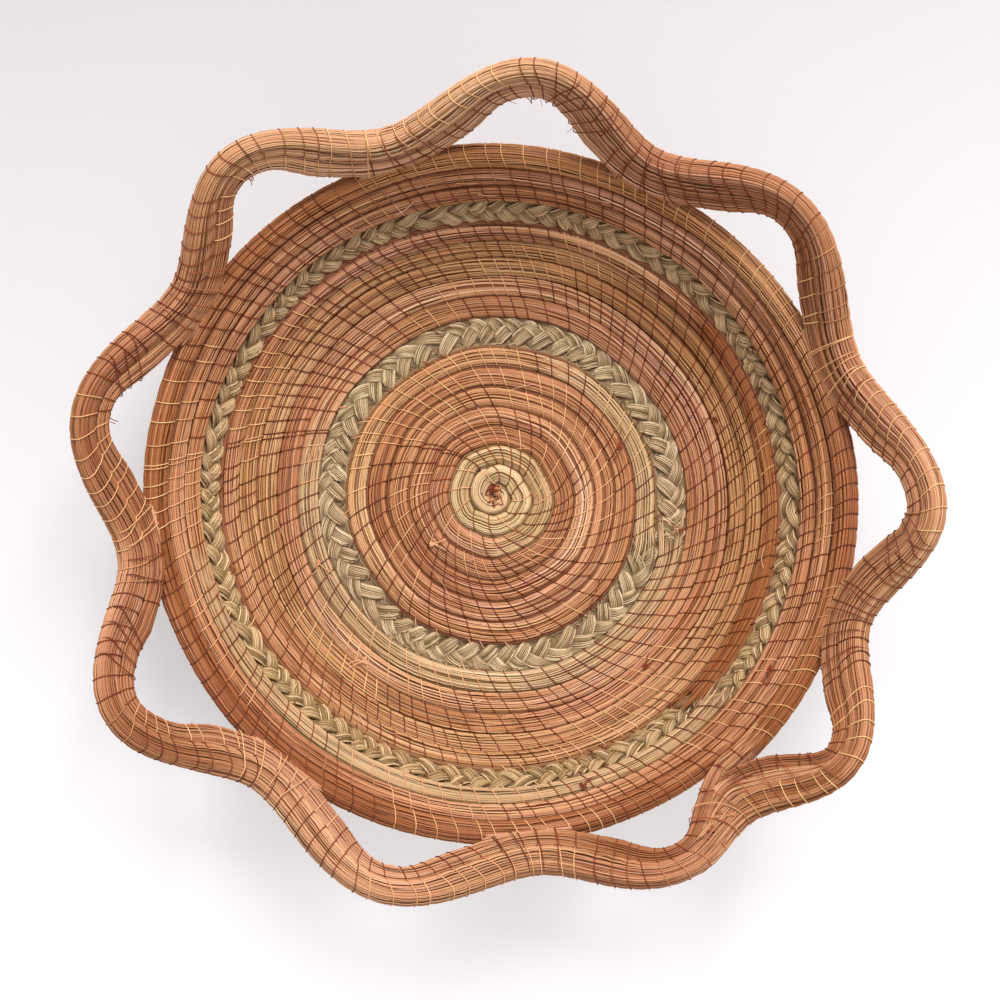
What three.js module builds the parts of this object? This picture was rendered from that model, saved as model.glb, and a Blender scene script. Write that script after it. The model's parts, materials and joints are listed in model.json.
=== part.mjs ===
// Coiled pine needle basket: one bundle of needles wound outward in a continuous flat spiral,
// turned up into a sloping wall, with two plaited rows and a scalloped openwork border.
// Millimetres, +Z up. The origin is the middle of the underside, where the coil starts.
// Angles count turns of the winding, clockwise seen from above, from the back (+Y).
import * as THREE from 'three';

// Row sizes
const BASE_ROW = 7.56;
const WALL_ROW = 8.17;
const BORDER_ROW = 7.3;
const BRAID_ROW = 10.6;
const BRAID_HEIGHT = 5.2;
const ROW_GAP = 0.7;
const END_GAP = 0.3;
const SEAT_GAP = 0.3;

// The rows of the base are a little thicker towards one side
const BASE_UNEVEN = 0.042;
const BASE_THICK_SIDE = 0.44;

// Start of the winding and the bound needle ends inside its first turn
const START_TURN = 22 / 24;
const START_RADIUS = 6.9;
const KNOT_HEIGHT = 5.2;
const KNOT_EDGE = 0.9;
const KNOT_TIP_CUT = 0.6;

// Wall, and how far and towards which side the bowl is longer than it is round
const BEND_RADIUS = 30;
const WALL_SLOPE = THREE.MathUtils.degToRad(53);
const OVAL = 0.009;
const OVAL_SIDE = 0.347;

// Turns where one bunch of needles ends and the next begins
const START_COIL_END = 60 / 24;
const BASE_COIL_END = 159 / 24;
const STRAW_COIL_END = 170 / 24;
const INNER_BRAID_START = 175 / 24;
const INNER_BRAID_END = 199 / 24;
const GREEN_FOOT_END = 211 / 24;
const LOWER_WALL_END = 252 / 24;
const STRAW_WALL_END = 303 / 24;
const UPPER_WALL_END = 315 / 24;
const OUTER_BRAID_START = 321 / 24;
const OUTER_BRAID_END = 345 / 24;
const GREEN_WALL_END = 353 / 24;
const NECK_COIL_END = 393 / 24;
const RIM_COIL_END = 417 / 24;

// Scalloped border: nine lobes, each with the angle of its tip, the angle where it comes back to
// the rim, both in degrees from the back, and the clear height of its opening along the slope
const FIRST_VALLEY = 142;
const LOBES = [
  { tip: 152.5, valley: 173.5, opening: 21 },
  { tip: 196.3, valley: 218.9, opening: 20 },
  { tip: 239.7, valley: 260.8, opening: 30.8 },
  { tip: 281.2, valley: 302.8, opening: 21.3 },
  { tip: 321.8, valley: 343.5, opening: 24.5 },
  { tip: 365.7, valley: 386, opening: 25.2 },
  { tip: 406.8, valley: 429.5, opening: 21 },
  { tip: 451.5, valley: 469.5, opening: 25.3 },
  { tip: 487.3, valley: 502, opening: 23.7 },
];
// Where the border's ends meet, its outer coil stands this far off the rim
const JUNCTION_RISE = 7.1;
// The last row of the rim leaves it between the first two angles and becomes the border's inner
// coil, which turns back towards the rim between the last two
const PEEL_START = 139.5;
const PEEL_END = 149;
const LANDING_START = 488;
const LANDING_END = 503;
const INNER_COIL_END = 499.5;
const OUTER_COIL_SEAM = 147;
const SEAM_GAP = 0.6;

// Facets
const LOOP_STEPS = 24;
const LOBE_STEPS = 10;
const BRAID_RAMP = 1 / 24;
const END_STEP = 0.6;
const SMALL_TURN = 1e-4;

const FULL_TURN = 2 * Math.PI;
const RIM_FULL_TURNS = Math.floor(RIM_COIL_END);

// Section of a round bundle, as shares of its width. A tenth is cut off the underside, so that
// the base stands flat.
const ROUND_TOP = Math.sqrt(3) / 4;
const ROUND_TOP_HALF = 0.25;
const ROUND_FOOT = 0.4;
const ROUND_FOOT_HALF = 0.5 - ROUND_FOOT / Math.sqrt(3);
const BRAID_FLAT_HALF = 0.3;

const PALE_STRAW = 0xcdbb8a;
const BROWN = 0xb8794f;
const STRAW = 0xc99d63;
const GREEN = 0xb9ad7c;
const OLIVE = 0xa98a5c;
const BRAID_GREEN = 0xb3a772;
const RED_BROWN = 0x9c5b41;

// Goes from 0 to 1 round a turn where the row changes width
function blend(edge, turn) {
  return THREE.MathUtils.smoothstep(turn, edge - BRAID_RAMP / 2, edge + BRAID_RAMP / 2);
}

// Width that a row takes up, with the space to its neighbours
function rowWidth(turn) {
  const thicker = Math.cos(FULL_TURN * (turn - BASE_THICK_SIDE));
  let width = BASE_ROW * (1 + BASE_UNEVEN * thicker);
  width = THREE.MathUtils.lerp(width, BRAID_ROW, blend(INNER_BRAID_START, turn));
  width = THREE.MathUtils.lerp(width, WALL_ROW, blend(INNER_BRAID_END, turn));
  width = THREE.MathUtils.lerp(width, BRAID_ROW, blend(OUTER_BRAID_START, turn));
  width = THREE.MathUtils.lerp(width, WALL_ROW, blend(OUTER_BRAID_END, turn));
  return THREE.MathUtils.lerp(width, BORDER_ROW, blend(borderTurn(PEEL_START), turn));
}

function bundleWidth(turn) {
  return rowWidth(turn) - ROW_GAP;
}

// Distance from the axis to the middle of a row, along the flat base and up the wall: each row
// lies against the row one turn before it
function reach(turn) {
  if (turn < START_TURN + 1) {
    return START_RADIUS + (turn - START_TURN) * rowWidth(turn);
  }
  return reach(turn - 1) + (rowWidth(turn - 1) + rowWidth(turn)) / 2;
}

const FOOT_REACH = reach(INNER_BRAID_END) + rowWidth(INNER_BRAID_END) / 2;
const BEND_LENGTH = BEND_RADIUS * WALL_SLOPE;

// Radius, height and slope of the bowl at a distance along its surface: flat, a bend, then straight
function bowlProfile(distance) {
  const past = Math.max(0, distance - FOOT_REACH);
  const slope = Math.min(past / BEND_RADIUS, WALL_SLOPE);
  const straight = Math.max(0, past - BEND_LENGTH);
  return {
    radius: Math.min(distance, FOOT_REACH) + BEND_RADIUS * Math.sin(slope) + straight * Math.cos(slope),
    height: BEND_RADIUS * (1 - Math.cos(slope)) + straight * Math.sin(slope),
    slope,
  };
}

// Height of a row's middle above its underside
function rowLift(turn) {
  const braided = blend(INNER_BRAID_START, turn) - blend(INNER_BRAID_END, turn)
    + blend(OUTER_BRAID_START, turn) - blend(OUTER_BRAID_END, turn);
  return THREE.MathUtils.lerp(ROUND_FOOT * bundleWidth(turn), BRAID_HEIGHT / 2, braided);
}

// Degrees round the border, from the back on the turn where it starts, as a turn of the winding
function borderTurn(degrees) {
  return RIM_FULL_TURNS + degrees / 360;
}

// How far the border stands off the row that it would lie against. Where its two ends meet it
// stands one row higher at the start, over the coil that leaves the rim there.
function lobeRise(turn) {
  const degrees = (turn - RIM_FULL_TURNS) * 360;
  let valley = FIRST_VALLEY;
  let floor = JUNCTION_RISE + BORDER_ROW;
  for (const lobe of LOBES) {
    const nextFloor = lobe === LOBES.at(-1) ? JUNCTION_RISE : 0;
    if (degrees <= lobe.tip) {
      const share = THREE.MathUtils.clamp((degrees - valley) / (lobe.tip - valley), 0, 1);
      return THREE.MathUtils.lerp(floor, lobe.opening, Math.sin(share * Math.PI / 2) ** 2);
    }
    if (degrees <= lobe.valley) {
      const share = (lobe.valley - degrees) / (lobe.valley - lobe.tip);
      return THREE.MathUtils.lerp(nextFloor, lobe.opening, Math.sin(share * Math.PI / 2) ** 2);
    }
    valley = lobe.valley;
    floor = nextFloor;
  }
  return lobeRise(turn - 1) - BORDER_ROW;
}

function bowlPoint(turn, distance, lift) {
  const bowl = bowlProfile(distance);
  const angle = FULL_TURN * turn;
  const radius = bowl.radius * (1 + OVAL * Math.cos(2 * (angle - FULL_TURN * OVAL_SIDE)));
  return new THREE.Vector3(radius * Math.sin(angle), radius * Math.cos(angle), bowl.height + lift);
}

// Middle of the bundle in the spiral rows
function rowPath(turn) {
  return bowlPoint(turn, reach(turn), rowLift(turn));
}

// Middle of the border's outer coil
function borderOuterPath(turn) {
  return bowlPoint(turn, reach(turn) + BORDER_ROW + lobeRise(turn), rowLift(turn));
}

// Middle of the border's inner coil: it leaves the rim, lies against the outer coil, and turns
// back towards the rim at its end
function borderInnerPath(turn) {
  const outer = frameOn(borderOuterPath, turn);
  const against = outer.point.addScaledVector(outer.side, -BORDER_ROW);
  const leaving = THREE.MathUtils.smoothstep(turn, borderTurn(PEEL_START), borderTurn(PEEL_END));
  const landing = THREE.MathUtils.smoothstep(turn, borderTurn(LANDING_START), borderTurn(LANDING_END));
  return rowPath(turn).lerp(against, leaving - landing);
}

// Point, direction, upper side and outward side of a bundle on a path
function frameOn(path, turn) {
  const point = path(turn);
  const along = path(turn + SMALL_TURN).sub(path(turn - SMALL_TURN)).normalize();
  const slope = bowlProfile(reach(turn)).slope;
  const angle = FULL_TURN * turn;
  const up = new THREE.Vector3(
    -Math.sin(slope) * Math.sin(angle),
    -Math.sin(slope) * Math.cos(angle),
    Math.cos(slope),
  );
  up.addScaledVector(along, -up.dot(along)).normalize();
  const side = new THREE.Vector3().crossVectors(up, along);
  return { point, along, up, side };
}

function roundSection(width) {
  return [
    [width / 2, 0],
    [ROUND_TOP_HALF * width, ROUND_TOP * width],
    [-ROUND_TOP_HALF * width, ROUND_TOP * width],
    [-width / 2, 0],
    [-ROUND_FOOT_HALF * width, -ROUND_FOOT * width],
    [ROUND_FOOT_HALF * width, -ROUND_FOOT * width],
  ];
}

function braidSection(width) {
  const half = BRAID_HEIGHT / 2;
  const flat = BRAID_FLAT_HALF * width;
  return [[width / 2, 0], [flat, half], [-flat, half], [-width / 2, 0], [-flat, -half], [flat, -half]];
}

// Corners of a bundle's section at one turn of a path
function ringCorners(path, turn, section) {
  const frame = frameOn(path, turn);
  return section(bundleWidth(turn)).map(([out, up]) => {
    const corner = frame.point.clone();
    corner.addScaledVector(frame.side, out).addScaledVector(frame.up, up);
    corner.z = Math.max(corner.z, 0);
    return corner;
  });
}

// One closed tube through the given turns of a path
function tubeAlong(path, turns, section) {
  const corners = [];
  for (const turn of turns) {
    for (const corner of ringCorners(path, turn, section)) {
      corners.push(corner.x, corner.y, corner.z);
    }
  }
  const sides = section(1).length;
  const faces = [];
  for (let ring = 0; ring < turns.length - 1; ring += 1) {
    for (let side = 0; side < sides; side += 1) {
      const a = ring * sides + side;
      const b = ring * sides + (side + 1) % sides;
      faces.push(a, b, a + sides, b, b + sides, a + sides);
    }
  }
  const last = (turns.length - 1) * sides;
  for (let side = 1; side < sides - 1; side += 1) {
    faces.push(0, side + 1, side);
    faces.push(last, last + side, last + side + 1);
  }
  const geometry = new THREE.BufferGeometry();
  geometry.setAttribute('position', new THREE.Float32BufferAttribute(corners, 3));
  geometry.setIndex(faces);
  geometry.computeVertexNormals();
  return geometry;
}

// Half the gap between two ends that meet, as a share of a turn
function endTrim(turn, gap = END_GAP) {
  return gap / 2 / (FULL_TURN * bowlProfile(reach(turn)).radius);
}

// Turns of a plain stretch: its two ends and every whole step between them
function loopTurns(start, end) {
  const turns = [start + endTrim(start)];
  const first = Math.round(start * LOOP_STEPS) + 1;
  const last = Math.round(end * LOOP_STEPS) - 1;
  for (let step = first; step <= last; step += 1) {
    turns.push(step / LOOP_STEPS);
  }
  turns.push(end - endTrim(end));
  return turns;
}

// Steps from valley to tip and tip to valley round the border, between two angles
function borderTurns(start, end) {
  const degrees = [];
  let valley = FIRST_VALLEY;
  for (const lobe of LOBES) {
    for (const [from, to] of [[valley, lobe.tip], [lobe.tip, lobe.valley]]) {
      for (let step = 0; step < LOBE_STEPS; step += 1) {
        degrees.push(THREE.MathUtils.lerp(from, to, step / LOBE_STEPS));
      }
    }
    valley = lobe.valley;
  }
  const between = degrees.filter((angle) => angle > start + END_STEP && angle < end - END_STEP);
  return [start, ...between, end].map(borderTurn);
}

function innerCoilTurns() {
  const rimEnd = RIM_COIL_END + endTrim(RIM_COIL_END);
  return [rimEnd, ...borderTurns(PEEL_START, INNER_COIL_END)];
}

function outerCoilTurns() {
  const trim = 360 * endTrim(borderTurn(OUTER_COIL_SEAM), SEAM_GAP);
  const firstLobe = borderTurns(OUTER_COIL_SEAM + trim, LOBES.at(-1).valley);
  const seam = borderTurns(FIRST_VALLEY, OUTER_COIL_SEAM - trim);
  return [...firstLobe, ...seam.slice(1).map((turn) => turn + 1)];
}

// Least clear space between two passes of one tube, or between its two ends, on its corners
function gapToItself(path, turns, section) {
  const rings = turns.map((turn) => ({ turn, corners: ringCorners(path, turn, section) }));
  let least = Infinity;
  for (const one of rings) {
    for (const other of rings) {
      if (other.turn - one.turn > 0.5) {
        for (const corner of one.corners) {
          for (const facing of other.corners) {
            least = Math.min(least, corner.distanceTo(facing));
          }
        }
      }
    }
  }
  return least;
}

function named(name, geometry, color, roughness) {
  const material = new THREE.MeshStandardMaterial({ color, roughness, metalness: 0, flatShading: true });
  const mesh = new THREE.Mesh(geometry, material);
  mesh.name = name;
  return mesh;
}

const basket = new THREE.Group();

function addTube(name, path, turns, section, color) {
  basket.add(named(name, tubeAlong(path, turns, section), color, 0.7));
  const gap = gapToItself(path, turns, section);
  if (Number.isFinite(gap)) {
    console.log(`${name} passes itself at ${gap.toFixed(2)} mm`);
  }
}

// Bound needle ends that fill the middle of the first turn: a comma-shaped plug against its inside
function startKnot() {
  const stand = SEAT_GAP + KNOT_EDGE;
  const outline = loopTurns(START_TURN, START_TURN + 1).slice(0, -1).map((turn) => {
    const frame = frameOn(rowPath, turn);
    return frame.point.addScaledVector(frame.side, -bundleWidth(turn) / 2 - stand);
  });
  for (const away of [rowWidth(START_TURN) - KNOT_TIP_CUT, 0]) {
    const face = frameOn(rowPath, START_TURN);
    const inset = bundleWidth(START_TURN) / 2 + stand;
    face.point.addScaledVector(face.side, away - inset).addScaledVector(face.along, -stand);
    outline.push(face.point);
  }
  const shape = new THREE.Shape(outline.map((point) => new THREE.Vector2(point.x, point.y)));
  const geometry = new THREE.ExtrudeGeometry(shape, {
    depth: KNOT_HEIGHT - 2 * KNOT_EDGE,
    bevelThickness: KNOT_EDGE,
    bevelSize: KNOT_EDGE,
    bevelSegments: 1,
    steps: 1,
  });
  geometry.translate(0, 0, KNOT_EDGE);
  return geometry;
}

basket.add(named('start_knot', startKnot(), RED_BROWN, 0.8));

const STRETCHES = [
  ['start_coil', START_TURN, START_COIL_END, roundSection, PALE_STRAW],
  ['base_coil', START_COIL_END, BASE_COIL_END, roundSection, BROWN],
  ['straw_coil', BASE_COIL_END, STRAW_COIL_END, roundSection, STRAW],
  ['green_lead_coil', STRAW_COIL_END, INNER_BRAID_START, roundSection, GREEN],
  ['inner_braid', INNER_BRAID_START, INNER_BRAID_END, braidSection, BRAID_GREEN],
  ['green_foot_coil', INNER_BRAID_END, GREEN_FOOT_END, roundSection, GREEN],
  ['lower_wall_coil', GREEN_FOOT_END, LOWER_WALL_END, roundSection, BROWN],
  ['straw_wall_coil', LOWER_WALL_END, STRAW_WALL_END, roundSection, STRAW],
  ['upper_wall_coil', STRAW_WALL_END, UPPER_WALL_END, roundSection, BROWN],
  ['olive_lead_coil', UPPER_WALL_END, OUTER_BRAID_START, roundSection, OLIVE],
  ['outer_braid', OUTER_BRAID_START, OUTER_BRAID_END, braidSection, BRAID_GREEN],
  ['green_wall_coil', OUTER_BRAID_END, GREEN_WALL_END, roundSection, GREEN],
  ['neck_coil', GREEN_WALL_END, NECK_COIL_END, roundSection, BROWN],
  ['rim_coil', NECK_COIL_END, RIM_COIL_END, roundSection, BROWN],
];
for (const [name, start, end, section, color] of STRETCHES) {
  addTube(name, rowPath, loopTurns(start, end), section, color);
}
addTube('border_inner_coil', borderInnerPath, innerCoilTurns(), roundSection, BROWN);
addTube('border_outer_coil', borderOuterPath, outerCoilTurns(), roundSection, STRAW);

export default basket;
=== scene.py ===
"""Looks of the coiled pine needle basket: needle bundles, plaits, sewing threads and loose ends.

The winding is worked out in millimetres, as in the part's source, and goes into Blender in metres.
Angles count turns of the winding, clockwise seen from above, from the back (+Y).
"""
import json
import math

import bpy
import numpy as np
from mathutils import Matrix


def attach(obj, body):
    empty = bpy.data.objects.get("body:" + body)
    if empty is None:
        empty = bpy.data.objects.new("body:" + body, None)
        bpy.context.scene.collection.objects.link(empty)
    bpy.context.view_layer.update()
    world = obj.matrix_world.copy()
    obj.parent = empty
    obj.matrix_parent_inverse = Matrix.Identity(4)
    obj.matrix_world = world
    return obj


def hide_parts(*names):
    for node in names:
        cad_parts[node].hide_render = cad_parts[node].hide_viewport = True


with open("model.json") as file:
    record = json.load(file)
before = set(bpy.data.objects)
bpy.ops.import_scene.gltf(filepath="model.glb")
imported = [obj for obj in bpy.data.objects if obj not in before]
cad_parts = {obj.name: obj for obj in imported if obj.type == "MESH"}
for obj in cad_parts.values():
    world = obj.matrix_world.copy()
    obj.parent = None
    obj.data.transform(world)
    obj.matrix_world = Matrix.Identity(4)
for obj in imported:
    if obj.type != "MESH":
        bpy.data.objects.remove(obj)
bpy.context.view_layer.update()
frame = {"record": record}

MM = 0.001
FULL_TURN = 2 * math.pi

# Rows of the winding, as in the part's source
BASE_ROW = 7.56
WALL_ROW = 8.17
BORDER_ROW = 7.3
BRAID_ROW = 10.6
BRAID_HEIGHT = 5.2
ROW_GAP = 0.7
BASE_UNEVEN = 0.042
BASE_THICK_SIDE = 0.44
START_TURN = 22 / 24
START_RADIUS = 6.9
BEND_RADIUS = 30
WALL_SLOPE = math.radians(53)
OVAL = 0.009
OVAL_SIDE = 0.347
ROUND_FOOT = 0.4
BRAID_RAMP = 1 / 24
INNER_BRAID = (175 / 24, 199 / 24)
OUTER_BRAID = (321 / 24, 345 / 24)
RIM_COIL_END = 417 / 24
RIM_FULL_TURNS = 17

# Plain stretches: first and last 24th of a turn, and how much lighter than its material's middle
STRETCHES = [
    ("start_coil", 22, 60, 0.0), ("base_coil", 60, 159, -0.05), ("straw_coil", 159, 170, -0.06),
    ("green_lead_coil", 170, 175, 0.05), ("green_foot_coil", 199, 211, 0.1),
    ("lower_wall_coil", 211, 252, 0.0), ("straw_wall_coil", 252, 303, -0.16),
    ("upper_wall_coil", 303, 315, 0.04), ("olive_lead_coil", 315, 321, -0.5),
    ("green_wall_coil", 345, 353, 0.0), ("neck_coil", 353, 393, -0.12), ("rim_coil", 393, 417, -0.47)
]

# Border, in degrees from the back: valleys and tips, and how far it stands off the rim at each
JUNCTION_RISE = 7.1
LOBE_ANGLES = np.array([
    142, 152.5, 173.5, 196.3, 218.9, 239.7, 260.8, 281.2, 302.8, 321.8, 343.5, 365.7, 386,
    406.8, 429.5, 451.5, 469.5, 487.3, 502, 512.5
])
LOBE_RISES = np.array([
    BORDER_ROW + JUNCTION_RISE, 21, 0, 20, 0, 30.8, 0, 21.3, 0, 24.5, 0, 25.2, 0, 21,
    0, 25.3, 0, 23.7, JUNCTION_RISE, 21 - BORDER_ROW
])
PEEL_START = 139.5
PEEL_END = 149
LANDING_START = 488
LANDING_END = 503
INNER_COIL_END = 499.5
OUTER_COIL_SEAM = 147
VALLEYS = LOBE_ANGLES[2:17:2]

# Border coils: how much lighter, how much wider below the tips, where that fades, and overlap
INNER_COIL_LIGHTER = -0.05
OUTER_COIL_LIGHTER = 0.02
BORDER_FLARE = 1.6
FLARE_RISES = (9, 21)
BORDER_OVERLAP = 0.16

# Patches within a stretch: turn at the middle, half length in turns, and how much lighter and tanner
PATCHES = [
    (17.09, 0.13, 0.35, 0.5), (4.3, 0.12, 0.2, 0.3), (9.6, 0.1, 0.15, 0.3),
    (16.93, 0.05, 0.25, 0.1), (17.43, 0.04, -0.2, 0.0), (17.58, 0.04, 0.12, 0.0),
    (17.67, 0.04, -0.2, 0.0), (17.76, 0.05, -0.3, 0.0), (17.95, 0.06, 0.28, 0.2),
    (18.17, 0.05, -0.25, 0.0), (18.34, 0.05, -0.25, 0.0)
]

# Runs of one thread: where each ends, in degrees from the back, and its tone from pale 0 to dark 1
NECK_THREADS = [
    (50, 0.75), (90, 0.6), (100, 0.25), (180, 0.8), (200, 0.25), (230, 0.6), (300, 0.25),
    (335, 0.8), (360, 0.6)
]
RIM_THREADS = [
    (60, 0.25), (105, 0.8), (135, 0.35), (160, 0.65), (200, 0.2), (262, 0.8), (292, 0.2),
    (330, 0.8), (345, 0.5), (360, 0.2)
]
OUTER_THREADS = [
    (3, 0.15), (50, 0.75), (63, 0.5), (95, 0.15), (118, 0.8), (137, 0.15), (158, 0.5),
    (167, 0.75), (199, 0.15), (236, 0.85), (241, 0.5), (256, 0.8), (262, 0.4),
    (285, 0.15), (325, 0.8), (333, 0.5), (360, 0.15)
]
INNER_THREADS = [
    (57, 0.8), (72, 0.2), (117, 0.8), (123, 0.3), (207, 0.8), (240, 0.15), (262, 0.8),
    (280, 0.25), (310, 0.65), (340, 0.2), (360, 0.8)
]

# How far the rows wander from an even spiral
HAND_UNEVEN = 0.22

# Needles
NEEDLE_PITCH = 0.56
NEEDLE_LENGTH = 190
NEEDLE_TAPER = 5.0
NEEDLE_DEPTH = 0.3
NEEDLE_FULL = 1.13
NEEDLE_THICKNESS = (0.8, 1.15)
NEEDLE_SIDES = 4
NEEDLE_SWAY = 0.42
NEEDLE_TWIST = 900
PLACE_UNEVEN = 0.3
SKIN_UNEVEN = 0.08
TIP_NARROW = 0.6
END_WIDTH = 0.12
RINGS_PER_STITCH = 3
SPLICE = 13.0

# Needle colours: spread, drift along a bundle, and what makes them darker: painted shade on deeper needles
# and along the seams, and darker tapered ends
TONE_SPREAD = 0.13
TONE_DRIFT = 0.12
HUE_SPREAD = 0.22
HUE_DRIFT = 0.2
DEPTH_PAINTED_SHADE = 1.5
DARK_START = 0.15
TIP_DARK = 0.4
SEAM_PAINTED_SHADE = 0.75
SEAM_BAND = (0.86, 0.99)
DARKEST = 0.85

# Section of a bundle, as shares of its width, and how square it is
BUNDLE_GIRTH = 2.75
BUNDLE_TOP = 0.45
BUNDLE_FOOT = 0.43
BUNDLE_SIDE = 0.506
BUNDLE_SQUARE = 2.7

# Inside of a bundle and of its seam, as such shares: outward, upward, half height and half width
CORE_SHAPES = [(0, 0, 0.36, 0.44), (0.5, 0.02, 0.2, 0.08)]
CORE_STEP = 3.0
CORE_SIDES = 8
# Painted shade on the inside of a bundle and of its seam, for the shade that shows between needles and
# between rows
ROW_CORE_PAINTED_SHADE = 0.78
BORDER_CORE_PAINTED_SHADE = 0.5

# Stitches
THREAD_RADIUS = 0.2
THREAD_SINK = 0.1
STITCH_RINGS = 18
PINCH = 0.05
FIRST_STITCHES = 12
DARK_THREAD = (0.65, 1.0)
BORDER_STITCH_GAP = 6.3
BORDER_SLANT = 0.33

# Loose ends and knots of thread
KNOT_RINGS = 64
STRAY_RINGS = 14

# Flanks of the border sewn with long stitches over both coils, in degrees from the back
LASHED_FLANKS = ((247, 253), (289, 294), (371, 379), (456, 462))

# Plaits
PLAIT_BAND = 5.3
PLAIT_BAND_HEIGHT = 2.1
PLAIT_SWING = 4.2
PLAIT_WEAVE = 1.3
PLAIT_BLUNT = 0.97
PLAIT_NEEDLES = 20
PLAIT_STEP = 1.7
PLAIT_OVERRUN = 3
EDGE_NEEDLES = 16

# Each plait: first and last turn, pitch, lean of its chevrons, tone, and painted light that makes it paler at
# the back and darker at the front
PLAITS = [("inner_braid", INNER_BRAID, 22.5, 0.45, 0.6, 0.0),
          ("outer_braid", OUTER_BRAID, -22.0, -0.1, 0.64, 0.22)]

# Camera above the basket, in millimetres
CAMERA_HEIGHT = 750
FIELD_WIDTH = 370
CAMERA_AIM = (1.85, -1.85)

# Light and floor, in metres, with the azimuth from the back
LIGHT_DISTANCE = 4.0
LIGHT_AZIMUTH = math.radians(12)
LIGHT_ELEVATION = math.radians(50)
LIGHT_SIZE = 2.2
LIGHT_POWER = 188.0
SKY_STRENGTH = 0.68
FLOOR_HALF = 3.0
FLOOR_DROP = 1e-4


def smoothstep(low, high, value):
    share = np.clip((value - low) / (high - low), 0, 1)
    return share * share * (3 - 2 * share)


def blend(edge, turn):
    return smoothstep(edge - BRAID_RAMP / 2, edge + BRAID_RAMP / 2, turn)


def rim_turn(degrees):
    """Turn of the winding at an angle on the rim or the border."""
    return RIM_FULL_TURNS + degrees / 360


def row_width(turn):
    """Width that a row takes up at a turn of the winding."""
    width = BASE_ROW * (1 + BASE_UNEVEN * np.cos(FULL_TURN * (turn - BASE_THICK_SIDE)))
    for edge, after in ((INNER_BRAID[0], BRAID_ROW), (INNER_BRAID[1], WALL_ROW), (OUTER_BRAID[0], BRAID_ROW),
                        (OUTER_BRAID[1], WALL_ROW), (rim_turn(PEEL_START), BORDER_ROW)):
        width = width + (after - width) * blend(edge, turn)
    return width


STEPS_PER_TURN = 480
LAST_TURN = 19.6


def reach_table():
    """Distance from the axis to the middle of the row: each row lies against the one before it."""
    turns = START_TURN + np.arange(int((LAST_TURN - START_TURN) * STEPS_PER_TURN)) / STEPS_PER_TURN
    width = row_width(turns)
    distance = START_RADIUS + (turns - START_TURN) * width
    for step in range(STEPS_PER_TURN, len(turns)):
        before = step - STEPS_PER_TURN
        distance[step] = distance[before] + (width[before] + width[step]) / 2
    return turns, distance


TURN_TABLE, REACH_TABLE = reach_table()


def reach(turn):
    return np.interp(turn, TURN_TABLE, REACH_TABLE)


FOOT_REACH = reach(INNER_BRAID[1]) + row_width(INNER_BRAID[1]) / 2
BEND_LENGTH = BEND_RADIUS * WALL_SLOPE


def bowl_profile(distance):
    """Radius, height and slope of the bowl at a distance along its surface."""
    past = np.maximum(0, distance - FOOT_REACH)
    slope = np.minimum(past / BEND_RADIUS, WALL_SLOPE)
    straight = np.maximum(0, past - BEND_LENGTH)
    radius = np.minimum(distance, FOOT_REACH) + BEND_RADIUS * np.sin(slope) + straight * np.cos(slope)
    height = BEND_RADIUS * (1 - np.cos(slope)) + straight * np.sin(slope)
    return radius, height, slope


def row_lift(turn):
    """Height of a row's middle above the bowl's surface."""
    braided = (blend(INNER_BRAID[0], turn) - blend(INNER_BRAID[1], turn)
               + blend(OUTER_BRAID[0], turn) - blend(OUTER_BRAID[1], turn))
    plain = ROUND_FOOT * (row_width(turn) - ROW_GAP)
    return plain + (BRAID_HEIGHT / 2 - plain) * braided


def bowl_point(turn, distance):
    """Middle of a bundle at a distance along the bowl, a little uneven."""
    angle = FULL_TURN * turn
    uneven = np.sin(3 * angle + distance / 9) + np.sin(5 * angle - distance / 13)
    uneven = uneven + np.sin(8 * angle + distance / 17)
    radius, height, _ = bowl_profile(distance + HAND_UNEVEN * uneven)
    radius = radius * (1 + OVAL * np.cos(2 * (angle - FULL_TURN * OVAL_SIDE)))
    return np.stack([radius * np.sin(angle), radius * np.cos(angle), height + row_lift(turn)], axis=-1)


def lobe_rise(turn):
    """How far the border stands off the rim."""
    degrees = (np.asarray(turn) - RIM_FULL_TURNS) * 360
    before = np.clip(np.searchsorted(LOBE_ANGLES, degrees, side="right") - 1, 0, len(LOBE_ANGLES) - 2)
    angle, rise = LOBE_ANGLES[before], LOBE_RISES[before]
    share = np.clip((degrees - angle) / (LOBE_ANGLES[before + 1] - angle), 0, 1)
    return rise + (LOBE_RISES[before + 1] - rise) * np.sin(share * math.pi / 2) ** 2


def border_flare(turn):
    """Extra width of the border's coils, which spread between the tips of the lobes."""
    return BORDER_FLARE * (1 - smoothstep(*FLARE_RISES, lobe_rise(turn)))


def bundle_width(path, turn):
    """Width of a bundle: the border's outer coil is the thickest and lies partly over the inner one."""
    width = row_width(turn) + border_flare(turn) * blend(rim_turn(PEEL_START), turn)
    return width * (1 + BORDER_OVERLAP) if path is outer_path else width


def row_path(turn):
    return bowl_point(turn, reach(turn))


def outer_path(turn):
    flare = border_flare(turn)
    inward = flare / 2 + BORDER_OVERLAP / 2 * (BORDER_ROW + flare)
    return bowl_point(turn, reach(turn) + BORDER_ROW + lobe_rise(turn) - inward)


def inner_path(turn):
    """Leaves the rim, lies against the outer coil and turns back towards the rim at its end."""
    point, _, _, side = frame_on(outer_path, turn)
    against = point - side * (1 - BORDER_OVERLAP / 2) * (BORDER_ROW + border_flare(turn)[..., None])
    leaving = smoothstep(rim_turn(PEEL_START), rim_turn(PEEL_END), turn)
    landing = smoothstep(rim_turn(LANDING_START), rim_turn(LANDING_END), turn)
    away = (leaving - landing)[..., None]
    return row_path(turn) * (1 - away) + against * away


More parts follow.
